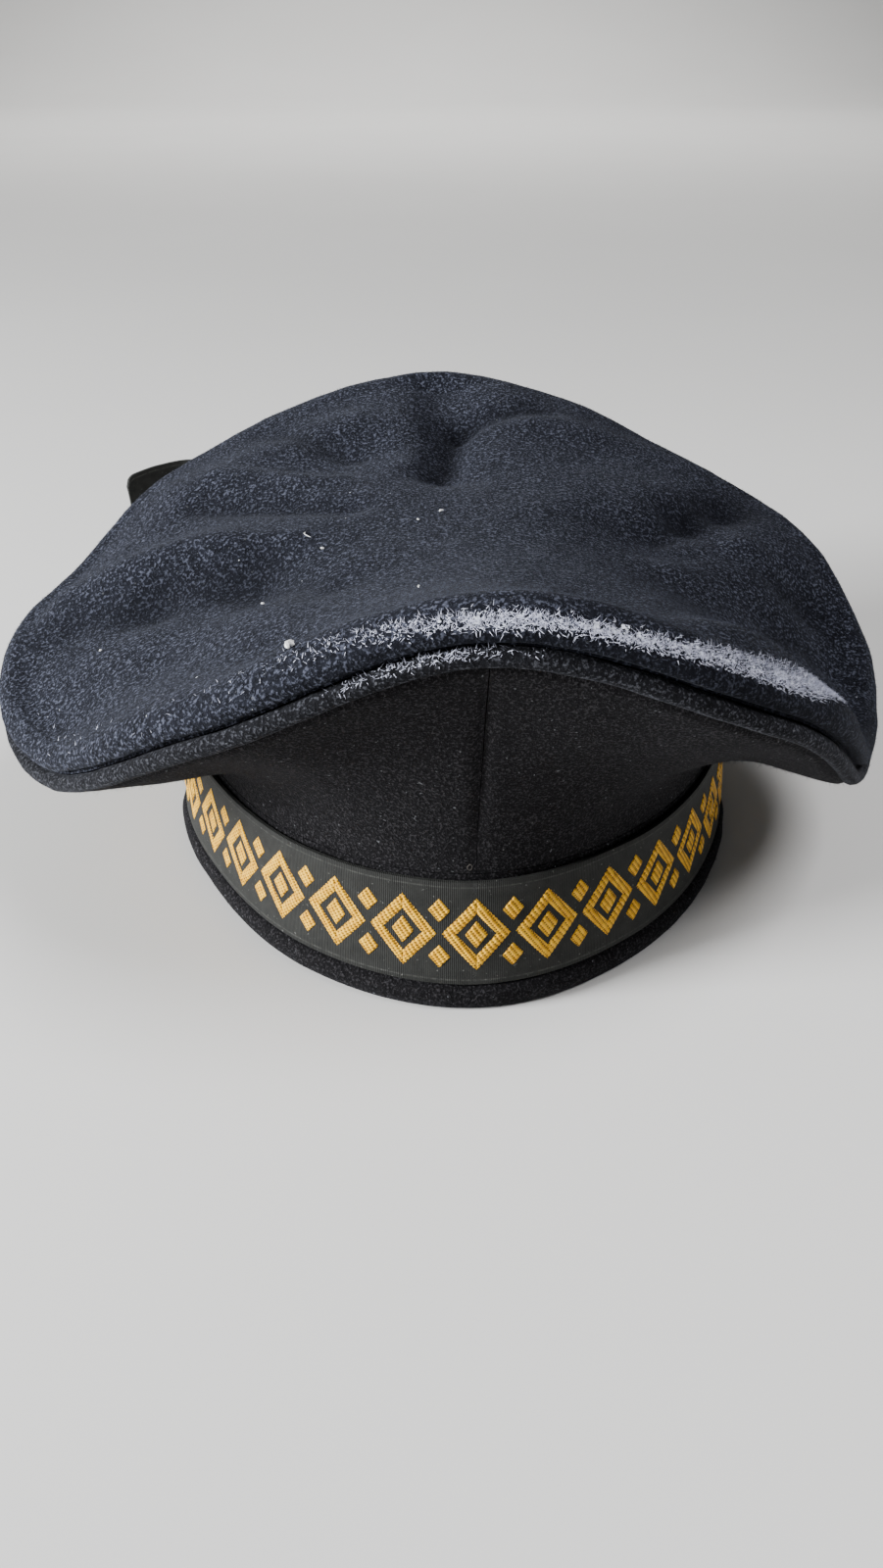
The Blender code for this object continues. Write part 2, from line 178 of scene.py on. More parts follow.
# How edges, seams and the knot are finished
EDGE_CLOTH = 0.30
SEAM_GAP_ANGLE = 0.06
SEAM_DEPTH = 0.0013
SEAM_WIDTH = 0.0016
PANEL_TOP_DEPTH = 0.0014
PANEL_TOP_WIDTH = 0.0018
RIBBON_RIDGES = table_of("height place spread",
    (0.00022, 0.0009, 0.0005), (0.00008, 0.0024, 0.0003))
RIBBON_RISE_LIMIT = 0.001
RIBBON_RISE_AT_FOOT = 0.3
TAIL_CORNER = 0.0040
TAIL_CUP = 0.0012
KNOT_SQUARENESS = 0.55
KNOT_INSIDE = 0.95
KNOT_WAIST = 0.08
KNOT_PLEATS = 7
KNOT_PLEAT_DEPTH = 0.045

# The gold border on the ribbon: lozenge frames with a lozenge in each and two between
BORDER_HEIGHT = 0.0225
BORDER_STROKE = 0.0030
BORDER_PITCH = 0.0205
BORDER_FRAME_WIDTH = 0.0190
BORDER_CORE = (0.0062, 0.0085)
BORDER_BETWEEN = (0.0060, 0.0072)
BORDER_BETWEEN_UP = 0.0072
BORDER_REACH = 105
BORDER_STEPS = (24, 5)
BORDER_ANGLES = 1441
BORDER_LIFT = 0.00035
BORDER_RIM = 0.00008
BORDER_SUNK = 0.0002
BORDER_TOOTH = 0.00016
GOLD_PITCH = 0.0017

# A painted highlight, near-white, stands in for light catching the nap along the crown's front
# crest and on the piping. Upper and lower are shares of ROLL_SIZE over the roll, out from its
# crest, and below 0 on the field. Above and below are how strong the painted highlight is at
# those two edges.
CROWN_PAINTED_HIGHLIGHT = table_of("angle upper lower above below",
    (-85, -0.40, 0.95, 0.0, 0.0), (-60, -0.40, 0.95, 0.04, 0.04), (-28, -0.10, 0.90, 0.05, 0.05),
    (-18, 0.10, 0.75, 0.13, 0.13), (-12, 0.22, 0.62, 0.30, 0.30), (-6, 0.42, 0.76, 0.60, 0.65),
    (0, 0.50, 0.85, 0.95, 0.90), (8, 0.54, 0.83, 1.0, 0.90), (15, 0.42, 0.72, 0.95, 1.0),
    (20, 0.02, 0.67, 0.45, 1.0), (25, -0.42, 0.64, 0.42, 1.0), (30, -0.58, 0.55, 0.42, 1.0),
    (35, -0.62, 0.32, 0.40, 1.0), (40, -0.80, -0.12, 0.25, 0.75), (44, -1.05, -0.70, 0.0, 0.0))
PAINTED_HIGHLIGHT_EDGE = 0.12
PAINTED_HIGHLIGHT_GRAIN = 600
PAINTED_HIGHLIGHT_SHIFT = 0.235
PAINTED_HIGHLIGHT_RAMP = (0.765, 0.83)
# Painted shade: below that highlight, on to the right and in the creases, the wool is painted
# darker.
PAINTED_SHADE_FROM = -14
PAINTED_SHADE_FULL = 2
PAINTED_SHADE_TO = 85
PAINTED_SHADE_FADE = 20
PAINTED_SHADE_HIGHEST = 0.1
PAINTED_SHADE_EDGE = 0.25
PAINTED_SHADE_EASE = 0.3
PAINTED_SHADE_STRENGTH = 0.60
PAINTED_SHADE_ON_ROLL = 0.95
PAINTED_SHADE_IN_CREASES = 1.3
PIPING_PAINTED_HIGHLIGHT_FROM = -17
PIPING_PAINTED_HIGHLIGHT_TO = 6
PIPING_PAINTED_HIGHLIGHT_STRENGTH = 0.55
PIPING_PAINTED_HIGHLIGHT_TURN = 45
PIPING_PAINTED_HIGHLIGHT_SPREAD = 1.7

# The nap's fibres: how many on which skins, how long and thick, and how far they lean
NAPS = table_of("name slot skins count length width lean fibre",
    ("crown_nap", "navy_melton_wool", "crown", 48000, 0.0010, 0.00012, 0.75, "pale_tips"),
    ("side_nap", "dark_navy_wool", "sides", 36000, 0.0010, 0.00006, 0.75, "dark_tips"),
    ("side_hairs", "dark_navy_wool", "panels", 5000, 0.0026, 0.00008, 0.93, "dark_tips"),
    # lit_nap: near-white fibres that carry the painted highlight on the crest and the piping
    ("lit_nap", "navy_melton_wool", "lit", 6500, 0.0015, 0.00017, 0.80, "lit_tips"))
NAP_ABOVE_FLOOR = 0.0002

# The thread's looped end at the foot of the front seam
THREAD_THICKNESS = 0.00020
THREAD_LOOP = 0.0019
THREAD_ANGLE = -1.2
THREAD_POINTS = 15

# Lint on the crown. Places are shares of half its width and length, length and thickness
# are in metres, and turn is the way that it lies, seen from above.
LINT = table_of("x y length thickness turn",
    (-0.312, -0.925, 0.0036, 0.0012, 75), (-0.312, -0.925, 0.0022, 0.0011, 10),
    (-0.03, 0.01, 0.0016, 0.0007, 40), (-0.09, -0.05, 0.0009, 0.0005, 120),
    (-0.42, -0.28, 0.0010, 0.0006, 150), (-0.77, -0.26, 0.0010, 0.0006, 60),
    (-0.30, -0.16, 0.0012, 0.0006, 160), (-0.33, -0.08, 0.0046, 0.00025, 110),
    (-0.10, -0.60, 0.0009, 0.0004, 75))
LINT_LIFT = 0.0003
LINT_POINTS = 7

# Colours and the looks of the wools. Grain is how many fibres there are to a metre.
FIBRES = {
    "pale_tips": (0.066, 0.072, 0.098, 1),
    "dark_tips": (0.050, 0.048, 0.052, 1),
    # lit_tips: near-white fibres that carry the painted highlight
    "lit_tips": (0.82, 0.84, 1.00, 1),
}
LINT_COLOUR = (0.92, 0.92, 0.92, 1)
THREAD_COLOUR = (0.10, 0.09, 0.08, 1)
STRAY_COLOUR = (0.30, 0.31, 0.33, 1)
# The painted highlight's colour on the crown's crest and on the piping
PAINTED_HIGHLIGHT_COLOUR = (0.90, 0.93, 1.00, 1)
WoolLook = namedtuple("WoolLook", "name dark light tip specks grain sheen")
CROWN_WOOL = WoolLook("napped_wool", (0.0036, 0.0040, 0.0060, 1), (0.0096, 0.0105, 0.0154, 1),
                      (0.086, 0.093, 0.127, 1), 0.15, 1050, 0.03)
PIPING_WOOL = WoolLook("piping_wool", (0.0038, 0.0039, 0.0048, 1), (0.0086, 0.0088, 0.0108, 1),
                       (0.068, 0.070, 0.082, 1), 0.20, 1250, 0.04)
DARK_WOOL = WoolLook("dark_wool", (0.0036, 0.0034, 0.0038, 1), (0.0074, 0.0070, 0.0078, 1),
                     (0.038, 0.036, 0.039, 1), 0.30, 1400, 0.02)
RIBBON_COLOURS = (0.0095, 0.0098, 0.0088, 1), (0.0182, 0.0186, 0.0168, 1)
RIBBON_RIB = 0.00055
RIBBON_WEFT = 0.0004
SELVEDGE = 0.0015
SELVEDGE_COLOUR = (0.048, 0.048, 0.044, 1)
DUST_COLOUR = (0.17, 0.17, 0.16, 1)
GOLD_COLOURS = (0.70, 0.34, 0.009, 1), (0.90, 0.50, 0.028, 1)
GOLD_GAP_COLOUR = (0.13, 0.05, 0.005, 1)
FLOOR_COLOURS = (0.66, 0.65, 0.63, 1), (0.70, 0.69, 0.67, 1)

# The camera stands in front of the cap and above it, and looks down at it.
CAMERA_PLACE = (-0.0195, -0.3631, 0.234)
CAMERA_PITCH = 33.0
CAMERA_YAW = 2.8
CAMERA_LENS = 27.045
SENSOR = 36.0

# A low key light from the left, a weaker one from the upper right, and one far behind
LIGHTS = table_of("name place target size power colour spread",
    ("key", (-1.58, -0.42, 0.60), (0, 0, 0.07), 0.6, 98.0, (0.96, 0.98, 1.0), 180),
    ("top_right", (0.60, -0.30, 1.30), (0, 0, 0.1), 0.6, 19.0, (0.98, 0.98, 1.0), 180),
    ("far_floor", (0, 3.0, 3.2), (0, 3.6, 0), 3.0, 70.0, (1.0, 1.0, 1.0), 90))
WORLD_COLOUR = (0.86, 0.88, 0.90, 1)
WORLD_STRENGTH = 0.18


def ring_values(table, name, angles):
    """Read a column of a table at angles, smoothly and all the way round."""
    own = np.array([row.angle for row in table], float)
    known = np.concatenate([own - 360, own, own + 360])
    values = np.tile([getattr(row, name) for row in table], 3)
    slopes = np.zeros(len(known))
    slopes[1:-1] = (values[2:] - values[:-2]) / (known[2:] - known[:-2])
    angles = np.asarray(angles, float) % 360
    here = np.searchsorted(known, angles, side="right") - 1
    span = known[here + 1] - known[here]
    t = (angles - known[here]) / span
    return (values[here] * (2 * t**3 - 3 * t**2 + 1)
            + slopes[here] * span * (t**3 - 2 * t**2 + t)
            + values[here + 1] * (3 * t**2 - 2 * t**3)
            + slopes[here + 1] * span * (t**3 - t**2))


def unit(vectors):
    return vectors / np.linalg.norm(vectors, axis=-1, keepdims=True)


def around(width, length, angles):
    turn = np.radians(angles)
    flat = np.zeros_like(turn)
    return np.stack([width / 2 * np.sin(turn), -length / 2 * np.cos(turn), flat], axis=-1)


def full_turn(steps=ROUND_STEPS):
    """Angles in degrees all the way round."""
    return np.arange(steps) * 360 / steps


def full_circle(sides):
    """The same in radians."""
    return 2 * math.pi * np.arange(sides) / sides


def from_front(angles):
    """Angles in degrees as -180 to 180."""
    return (angles + 180) % 360 - 180


def rim_points(angles):
    reach = ring_values(RIM, "reach", angles)
    points = around(CROWN_WIDTH * reach, CROWN_LENGTH * reach, angles)
    points[..., 2] = CROWN_HEIGHT * ring_values(RIM, "height", angles)
    return points


def rim_frames(angles):
    """The directions out of the rim and up from it, square to its run."""
    aside = 0.5
    run = unit(rim_points(angles + aside) - rim_points(angles - aside))
    out = around(CROWN_LENGTH, CROWN_WIDTH, angles)
    out = unit(out - run * (out * run).sum(axis=-1, keepdims=True))
    up = np.cross(out, run)
    return out, up * np.sign(up[..., 2:])


def band_points(angles, height, inset=0.0):
    """Points at a height on the band's outer face, or further in by an inset."""
    share = height / BAND_HEIGHT
    shrink = 2 * (inset + BAND_TAPER * share)
    reach = ring_values(BAND, "reach", angles)
    points = around(BAND_WIDTH * reach - shrink, BAND_LENGTH * reach - shrink, angles)
    points[..., 1] += BAND_LEAN * share
    points[..., 2] = height
    return points


def packed_shift():
    """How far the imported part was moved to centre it, read from its ribbon."""
    angles = full_turn(PACKED_STATIONS)
    heights = (RIBBON_FOOT, RIBBON_FOOT + RIBBON_WIDTH)
    own = np.concatenate([band_points(angles, z, -GAP - RIBBON_THICKNESS) for z in heights])
    middle = (own.min(axis=0) + own.max(axis=0)) / 2
    low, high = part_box("cap_ribbon")
    return np.array([(low.x + high.x) / 2 - middle[0], (low.y + high.y) / 2 - middle[1], 0.0])


SHIFT = packed_shift()


def fold_lift(points, folds):
    """How far folds raise or sink the crown's cloth at places seen from above."""
    place = points[..., :2] / (CROWN_WIDTH / 2, CROWN_LENGTH / 2)
    total = np.zeros(place.shape[:-1])
    for fold in folds:
        start = np.array([fold.from_x, fold.from_y])
        run = np.array([fold.to_x, fold.to_y]) - start
        share = np.clip((place - start) @ run / (run @ run), 0, 1)
        away = np.linalg.norm(place - start - run * share[..., None], axis=-1)
        total += fold.lift * np.exp(-(away / fold.spread)**2)
    return FOLD_HEIGHT * total


def smooth_path(points, steps):
    """A curve through points, which may be arrays, without the first and the last."""
    path = []
    for before, here, ahead, after in zip(points, points[1:], points[2:], points[3:]):
        for t in np.arange(steps) / steps:
            path.append(0.5 * (2 * here + (ahead - before) * t
                               + (2 * before - 5 * here + 4 * ahead - after) * t**2
                               + (3 * here - before - 3 * ahead + after) * t**3))
    path.append(points[-2])
    return path


def unevenness(points, wave):
    """A soft random wave of about a height, up and down, with bumps of a given size."""
    rng = np.random.default_rng(wave.seed)
    total = np.zeros(points.shape[:-1])
    for _ in range(WAVES):
        way = unit(rng.normal(size=3)) * 2 * math.pi / wave.size * rng.uniform(0.6, 1.5)
        total += np.sin(points @ way + rng.uniform(0, 2 * math.pi))
    return wave.height * (total / math.sqrt(WAVES))


def grid_normals(grid, wrap, outward):
    """Normals of a grid of points, on the side that faces the outward points."""
    across = np.gradient(grid, axis=0)
    if wrap:
        along = (np.roll(grid, -1, axis=1) - np.roll(grid, 1, axis=1)) / 2
    else:
        along = np.gradient(grid, axis=1)
    normal = unit(np.cross(across, along))
    middle = tuple(size // 2 for size in grid.shape[:2])
    return normal * np.sign(normal[middle] @ (outward - grid[middle]))


def put_in_scene(name, data):
    """Show a mesh, a lamp or a camera."""
    shown = bpy.data.objects.new(name, data)
    bpy.context.scene.collection.objects.link(shown)
    return shown


def new_mesh(name, points, faces, material):
    mesh = bpy.data.meshes.new(name)
    mesh.from_pydata(points, [], faces)
    mesh.materials.append(material)
    return mesh


def add_mesh(name, points, faces, material):
    """Make a smooth mesh piece that rides on the cap's only body."""
    mesh = new_mesh(name, (points + SHIFT).tolist(), faces, material)
    work = bmesh.new()
    work.from_mesh(mesh)
    bmesh.ops.recalc_face_normals(work, faces=work.faces)
    work.to_mesh(mesh)
    work.free()
    mesh.shade_smooth()
    mesh.set_sharp_from_angle(angle=math.radians(SHARP_ANGLE))
    piece = put_in_scene(name, mesh)
    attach(piece, "root")
    return piece


def skin_faces(rows, columns, wrap, start):
    """Faces of a grid of points that are counted row by row from a start."""
    row, column = np.meshgrid(np.arange(rows - 1), np.arange(columns if wrap else columns - 1),
                              indexing="ij")
    after = (column + 1) % columns
    a = start + row * columns
    corners = (a + column, a + after, a + columns + after, a + columns + column)
    return np.stack(corners, axis=-1).reshape(-1, 4).tolist()


def tube_faces(rows, sides, start):
    """The same for a grid whose rows go round, with its two ends closed."""
    ends = [tuple(range(first, first + sides)) for first in (start, start + (rows - 1) * sides)]
    return skin_faces(rows, sides, True, start) + ends


def patch_faces(rows, columns, start):
    """Faces of two equal skins, counted one after the other, and of the edge between them."""
    count = rows * columns
    faces = skin_faces(rows, columns, False, start)
    faces += skin_faces(rows, columns, False, start + count)
    border = list(range(columns))
    border += [row * columns + columns - 1 for row in range(1, rows)]
    border += [(rows - 1) * columns + column for column in range(columns - 2, -1, -1)]
    border += [row * columns for row in range(rows - 2, 0, -1)]
    for here, after in zip(border, border[1:] + border[:1]):
        a, b = start + here, start + after
        faces.append((a, b, count + b, count + a))
    return faces


def cloth_ring(name, outer, inner, material, poles=None):
    """Close two skins that run all round, with a pole each where they meet at the top."""
    rows, columns = outer.shape[:2]
    count = rows * columns
    points = [outer.reshape(-1, 3), inner.reshape(-1, 3)]
    faces = skin_faces(rows, columns, True, 0) + skin_faces(rows, columns, True, count)
    last = (rows - 1) * columns
    for column in range(columns):
        after = (column + 1) % columns
        faces.append((last + column, last + after, count + last + after, count + last + column))
        if poles is None:
            faces.append((column, after, count + after, count + column))
        else:
            faces.append((column, after, 2 * count))
            faces.append((count + column, count + after, 2 * count + 1))
    if poles is not None:
        points.append(np.array(poles))
    return add_mesh(name, np.concatenate(points), faces, material)


def cloth_patch(name, outer, inner, material):
    """Close two skins that have four edges."""
    points = np.concatenate([outer.reshape(-1, 3), inner.reshape(-1, 3)])
    return add_mesh(name, points, patch_faces(*outer.shape[:2], 0), material)


def round_sections(path, radius, aside, above, sides):
    """Circles of points round a path, a row for each of its places."""
    rows = [path + radius[:, None] * (aside * math.cos(t) + above * math.sin(t))
            for t in full_circle(sides)]
    return np.array(rows).transpose(1, 0, 2)


def closed_sweep(name, grid, material):
    """Join closed sections, a row for each station, that follow each other all round."""
    stations, sides = grid.shape[:2]
    station, side = np.meshgrid(np.arange(stations), np.arange(sides), indexing="ij")
    ahead, beside = (station + 1) % stations, (side + 1) % sides
    corners = (station * sides + side, ahead * sides + side,
               ahead * sides + beside, station * sides + beside)
    faces = np.stack(corners, axis=-1).reshape(-1, 4).tolist()
    return add_mesh(name, grid.reshape(-1, 3), faces, material)


def store(piece, name, values):
    """Keep a number for each of a piece's points, for its material to read."""
    kept = piece.data.attributes.new(name, "FLOAT", "POINT")
    filled = np.zeros(len(piece.data.vertices), np.float32)
    filled[:values.size] = values.ravel()
    kept.data.foreach_set("value", filled)


# Materials

class Shader:
    """A material's nodes, added and joined in few words."""

    def __init__(self, name, **settings):
        self.material = bpy.data.materials.new(name)
        self.material.use_nodes = True
        self.tree = self.material.node_tree
        self.surface = self.tree.nodes["Principled BSDF"]
        for key, value in settings.items():
            self.surface.inputs[key.replace("_", " ")].default_value = value

    def add(self, kind, inputs=None, **settings):
        node = self.tree.nodes.new("ShaderNode" + kind)
        for key, value in settings.items():
            setattr(node, key, value)
        for key, value in (inputs or {}).items():
            self.feed(node.inputs[key], value)
        return node

    def feed(self, socket, value):
        if isinstance(value, bpy.types.NodeSocket):
            self.tree.links.new(value, socket)
        else:
            socket.default_value = value

    def noise(self, scale, detail=2.0, roughness=0.5):
        where = self.add("TexCoord").outputs["Object"]
        inputs = {"Vector": where, "Scale": scale, "Detail": detail, "Roughness": roughness}
        return self.add("TexNoise", inputs).outputs["Fac"]

    def ramp(self, value, low, high, dark=0.0, light=1.0):
        inputs = {"Value": value, "From Min": low, "From Max": high, "To Min": dark,
                  "To Max": light}
        return self.add("MapRange", inputs).outputs["Result"]

    def maths(self, operation, a, b=0.0):
        return self.add("Math", {0: a, 1: b}, operation=operation).outputs[0]

    def times(self, a, b):
        return self.maths("MULTIPLY", a, b)

    def wave(self, value, length):
        """A sine along a value in metres."""
        return self.maths("SINE", self.times(value, 2 * math.pi / length))

    def blend(self, factor, a, b):
        node = self.add("Mix", {"Factor": factor}, data_type="RGBA")
        self.feed(node.inputs[6], a)
        self.feed(node.inputs[7], b)
        return node.outputs[2]

    def bump(self, height, distance, strength, under=None):
        inputs = {"Height": height, "Distance": distance, "Strength": strength}
        if under is not None:
            inputs["Normal"] = under
        return self.add("Bump", inputs).outputs["Normal"]

    def attribute(self, name):
        return self.add("Attribute", attribute_name=name).outputs["Fac"]

    def cloth_place(self):
        """How far along and across its flat cloth a place is, in metres."""
        place = self.add("UVMap", uv_map="cloth").outputs["UV"]
        split = self.add("SeparateXYZ", {0: place})
        return split.outputs["X"], split.outputs["Y"]

    def finish(self, colour, normal=None):
        self.feed(self.surface.inputs["Base Color"], colour)
        if normal is not None:
            self.feed(self.surface.inputs["Normal"], normal)
        return self.material


def make_wool(look):
    """Napped wool: fibre mottle, pale tips, stray specks, painted shade, a painted highlight, and
    a bump of the same fibres.
    """
    wool = Shader(look.name, Roughness=0.95, Sheen_Weight=look.sheen, Sheen_Roughness=0.4,
                  Sheen_Tint=(0.80, 0.84, 0.98, 1), Specular_IOR_Level=0.08)
    fibres = wool.noise(look.grain, 2.0, 0.6)
    clumps = wool.noise(look.grain / 1.9, 2.0, 0.5)
    mottle = wool.noise(40, 2.0, 0.5)
    colour = wool.blend(wool.ramp(clumps, 0.36, 0.64), look.dark, look.light)
    colour = wool.blend(wool.ramp(mottle, 0.35, 0.65, 0.0, 0.3), colour, look.light)
    tips = wool.ramp(fibres, 0.52, 0.66)
    colour = wool.blend(wool.times(tips, 0.75), colour, look.tip)
    stray = wool.ramp(wool.noise(820, 1.0, 0.4), 0.745, 0.785)
    colour = wool.blend(wool.times(stray, look.specks), colour, STRAY_COLOUR)
    # Painted shade: the wool goes to its dark colour where the flat_nap attribute says
    flat_nap = wool.times(wool.attribute("flat_nap"), PAINTED_SHADE_STRENGTH)
    colour = wool.blend(flat_nap, colour, look.dark)
    # Painted highlight: near-white where the frost attribute says, broken up by noise
    lit = wool.noise(PAINTED_HIGHLIGHT_GRAIN, 2.0, 0.7)
    level = wool.maths("ADD", wool.times(wool.attribute("frost"), PAINTED_HIGHLIGHT_SHIFT), lit)
    colour = wool.blend(wool.ramp(level, *PAINTED_HIGHLIGHT_RAMP), colour, PAINTED_HIGHLIGHT_COLOUR)
    normal = wool.bump(clumps, 0.0003, 0.6)
    return wool.finish(colour, wool.bump(fibres, 0.0005, 1.0, normal))


def make_ribbon_cloth():
    """A fine ribbed ribbon: ribs run across its width, with a little dust on them."""
    ribbon = Shader("black_ribbon_cloth", Roughness=0.72, Sheen_Weight=0.06, Sheen_Roughness=0.5,
                    Sheen_Tint=(0.8, 0.82, 0.78, 1), Specular_IOR_Level=0.2)
    along, across = ribbon.cloth_place()
    weft = ribbon.times(ribbon.wave(across, RIBBON_WEFT), 0.4)
    weave = ribbon.maths("ADD", ribbon.wave(along, RIBBON_RIB), weft)
    mottle = ribbon.noise(260, 3.0, 0.6)
    colour = ribbon.blend(ribbon.ramp(mottle, 0.3, 0.7), *RIBBON_COLOURS)
    other_edge = ribbon.maths("SUBTRACT", RIBBON_WIDTH, across)
    from_edge = ribbon.maths("MINIMUM", across, other_edge)
    off_line = ribbon.maths("ABSOLUTE", ribbon.maths("SUBTRACT", from_edge, SELVEDGE))
    line = ribbon.ramp(off_line, 0.00035, 0.0001)
    worn = ribbon.times(line, ribbon.ramp(ribbon.noise(700), 0.38, 0.60, 0.15, 0.8))
    colour = ribbon.blend(worn, colour, SELVEDGE_COLOUR)
    dust = ribbon.ramp(ribbon.noise(1100, 1.0, 0.4), 0.72, 0.78)
    colour = ribbon.blend(ribbon.times(dust, 0.5), colour, DUST_COLOUR)
    normal = ribbon.bump(weave, 0.00006, 0.8)
    return ribbon.finish(colour, ribbon.bump(mottle, 0.0002, 0.4, normal))


def make_gold_cloth():
    """Gold thread woven on the slant, so that small dark gaps show in diagonal rows."""
    gold = Shader("gold_thread_cloth", Roughness=0.45, Specular_IOR_Level=0.16)
    along, across = gold.cloth_place()
    slant = gold.maths("ADD", along, gold.times(across, 0.7))
    counter = gold.maths("SUBTRACT", gold.times(along, 0.8), across)
    stitches = gold.times(gold.wave(counter, GOLD_PITCH / 1.6), 0.40)
    weave = gold.maths("ADD", gold.wave(slant, GOLD_PITCH), stitches)
    wear = gold.noise(500, 2.0)
    gaps = gold.ramp(gold.maths("ADD", weave, gold.times(wear, 0.6)), -0.15, -0.75)
    body = gold.blend(gold.ramp(wear, 0.35, 0.65), *GOLD_COLOURS)
    colour = gold.blend(gold.times(gaps, 0.95), body, GOLD_GAP_COLOUR)
    return gold.finish(colour, gold.bump(weave, 0.00015, 0.9))


def make_pale_fibre(name, colour):
    fibre = Shader(name, Roughness=0.8, Specular_IOR_Level=0.2)
    deeper = [0.6 * part for part in colour[:3]] + [1]
    return fibre.finish(fibre.blend(fibre.noise(900, 1.0), deeper, colour))


def make_floor_paint():
    paint = Shader("pale_floor", Roughness=0.7, Specular_IOR_Level=0.3)
    return paint.finish(paint.blend(paint.noise(3, 2.0), *FLOOR_COLOURS))


# The cap's pieces

def crown_skin(angles):
    """Outer points of the crown's cloth: a row for each step from its centre to its edge."""
    rim = rim_points(angles)
    out, up = rim_frames(angles)
    roll = [rim + ROLL_SIZE * (out * row.out + up * row.up) for row in ROLL[:-1] + TURN_IN]
    edge = rim - out * EDGE_TUCK + up * (PIPING_WIDTH / 2 + GAP)
    centre = np.array([0.0, 0.0, CROWN_CENTRE_HEIGHT])

    def field_at(share):
        points = centre + (roll[0] - centre) * share
        points[:, 2] = centre[2] + (roll[0][:, 2] - centre[2]) * share**DOME_POWER
        points[:, 2] += fold_lift(points, FOLDS)
        points[:, 2] += fold_lift(points, CREASES + EASED) * (1 - share**CREASE_FADE)
        return points

    field = [field_at(share) for share in np.linspace(FIELD_START, FIELD_END, FIELD_ROWS)]
    before = field_at(2 * FIELD_END - 1)
    turned = smooth_path([before, field[-1], *roll, edge, 2 * edge - roll[-1]], ROLL_STEPS)
    return np.array(field + turned[1:])


def make_crown(material):
    angles = full_turn()
    outer = crown_skin(angles)
    normals = grid_normals(outer, True, UP)
    turned_in = np.arange(len(outer)) - (len(outer) - 1 - TURN_IN_ROWS)
    fade = 1 - np.clip(turned_in / TURN_IN_ROWS, 0, 1)
    relief = sum(unevenness(outer, wave) for wave in CROWN_WAVES)
    outer = outer + normals * (relief * fade[:, None])[..., None]
    cloth = CROWN_CLOTH * (EDGE_CLOTH + (1 - EDGE_CLOTH) * fade**2)
    inner = outer - normals * cloth[:, None, None]
    out, _ = rim_frames(angles)
    inner[-1] = outer[-1] - out * CROWN_CLOTH / 2
    top = outer[0].mean(axis=0)
    crown = cloth_ring("crown_cloth", outer, inner, material, (top, top - (0, 0, CROWN_CLOTH)))
    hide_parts("crown_top")
    return crown, outer, normals


def make_piping(material):
    angles = full_turn(EDGE_STEPS)
    centre = rim_points(angles)
    out, up = rim_frames(angles)
    radius = PIPING_WIDTH / 2 * (1 + unevenness(centre, PIPING_WAVE))
    grid = round_sections(centre, radius, out, up, PIPING_SIDES)
    piping = closed_sweep("piping_cloth", grid, material)
    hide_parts("crown_piping")
    return piping, grid, unit(grid - centre[:, None])


def panel_skin(angles):
    """Outer points of a side panel from the piping down to the band's top edge."""
    out, up = rim_frames(angles)
    rim = rim_points(angles)
    start = rim - up * (PIPING_WIDTH / 2 + GAP) - out * PANEL_CLOTH * PANEL_INSET
    end = band_points(angles, BAND_HEIGHT) + (0, 0, GAP)
    lowest = min(row.height for row in RIM)
    share = (rim[:, 2] / CROWN_HEIGHT - lowest) / (1 - lowest)
    tuck = np.radians(TUCK_ANGLE_LOW + (TUCK_ANGLE_HIGH - TUCK_ANGLE_LOW) * share)[:, None]
    leave = start - PANEL_TUCK * (out * np.cos(tuck) + UP * np.sin(tuck))
    arrive = end + (0, 0, PANEL_RISE)
    rows = []
    for t in np.linspace(0, 1, PANEL_ROWS)**PANEL_ROW_POWER:
        rows.append(start * (1 - t)**3 + leave * 3 * t * (1 - t)**2
                    + arrive * 3 * t**2 * (1 - t) + end * t**3)
    return np.array(rows)


def make_panels(material):
    """Four panels whose edges turn in where they are sewn together and under the piping."""
    made = []
    for quarter, name in enumerate(("front_right", "back_right", "back_left", "front_left")):
        share = np.linspace(-1, 1, PANEL_STEPS + 1)
        share = np.sign(share) * (1 - (1 - abs(share))**PANEL_STEP_POWER)
        angles = 90 * quarter + 45 + share * (45 - SEAM_GAP_ANGLE)
        outer = panel_skin(angles)
        outward = outer[PANEL_ROWS // 2, PANEL_STEPS // 2] * (2, 2, 1)
        normals = grid_normals(outer, False, outward)
        from_seams = [np.linalg.norm(outer - seam[:, None], axis=-1)
                      for seam in (outer[:, 0], outer[:, -1])]
        dip = sum(np.exp(-(away / SEAM_WIDTH)**2) for away in from_seams)
        ends = np.sin(np.linspace(0, math.pi, PANEL_ROWS))[:, None]
        relief = (unevenness(outer, PANEL_WAVE) - SEAM_DEPTH * dip) * ends
        from_top = np.linalg.norm(outer - outer[0], axis=-1)
        relief -= PANEL_TOP_DEPTH * np.exp(-(from_top / PANEL_TOP_WIDTH)**2)
        outer = outer + normals * relief[..., None]
        inner = outer - normals * PANEL_CLOTH
        out, _ = rim_frames(angles)
        inner[0] = outer[0] - out * PANEL_CLOTH
        inner[-1] = band_points(angles, BAND_HEIGHT, PANEL_CLOTH) + (0, 0, GAP)
        panel = cloth_patch("panel_cloth_" + name, outer, inner, material)
        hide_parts("side_panel_" + name)
        made.append((outer, normals))
    return made


def make_band(material):
    angles = full_turn()
    heights = np.linspace(RIBBON_FOOT, BAND_HEIGHT, BAND_ROWS)
    outer = np.array([band_points(angles, z) for z in heights])
    inner = np.array([band_points(angles, z, BAND_CLOTH) for z in heights])
    band = cloth_ring("band_cloth", outer, inner, material)
    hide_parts("head_band")


